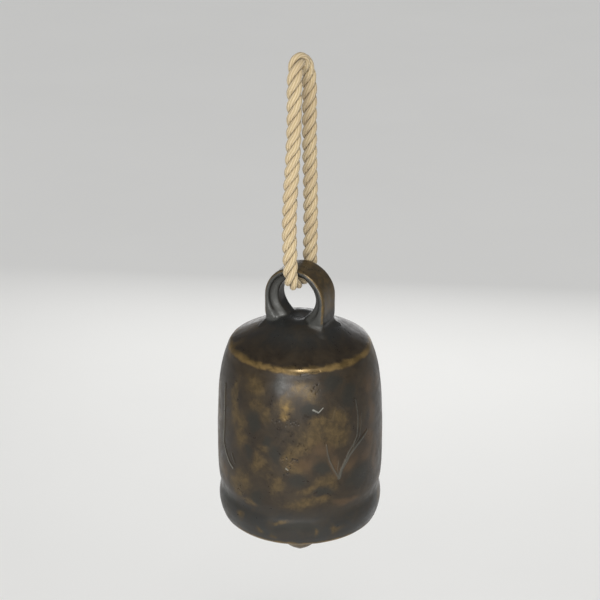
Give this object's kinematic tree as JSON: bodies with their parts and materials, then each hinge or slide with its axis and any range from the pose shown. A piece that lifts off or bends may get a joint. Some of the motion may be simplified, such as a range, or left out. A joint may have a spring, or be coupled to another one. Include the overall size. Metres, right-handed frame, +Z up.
{
  "type": "ship bell",
  "caption": "Small cast bell with a barrel body, low cone crown and a broad ring, hung on an endless rope loop, with a ball clapper on a link inside.",
  "frame": {"origin": "underside of the rope loop's top bend, where the hook or peg bears", "axes": "+Z up, from the bell towards the hook; Y along the hole of the ring on the crown; X to the side"},
  "size_m": [0.0942, 0.0942, 0.2966],
  "materials": {
    "bell_bronze": "dark patina over cast bronze, worn to brass on the shoulder and lip, blotched ochre",
    "ring_bronze": "grey-black patina, worn to brass on the outer edges",
    "wrought_iron": "dark forged wire, slightly rusted",
    "bob_brass": "dull cast brass",
    "rope_fibre": "three-strand laid natural fibre, matt"
  },
  "bodies": {
    "rope": {"hanging_rope": "rope_fibre"},
    "bell": {"bell_shell": "bell_bronze", "hanging_ring": "ring_bronze", "clapper_staple": "wrought_iron"},
    "link": {"clapper_link": "wrought_iron"},
    "clapper": {"clapper_rod": "wrought_iron", "clapper_bob": "bob_brass"}
  },
  "joints": [
    {"name": "bell_swing", "type": "hinge", "parent": "rope", "child": "bell", "pos_m": [0, 0, -0.1193], "axis": [0, 1, 0], "range_deg": [-50, 50]},
    {"name": "link_swing", "type": "hinge", "parent": "bell", "child": "link", "pos_m": [0, 0, -0.1552], "axis": [1, 0, 0], "range_deg": [-5, 5]},
    {"name": "clapper_swing", "type": "hinge", "parent": "link", "child": "clapper", "pos_m": [0, 0, -0.1643], "axis": [0, 1, 0], "range_deg": [-15.5, 15.5]}
  ]
}
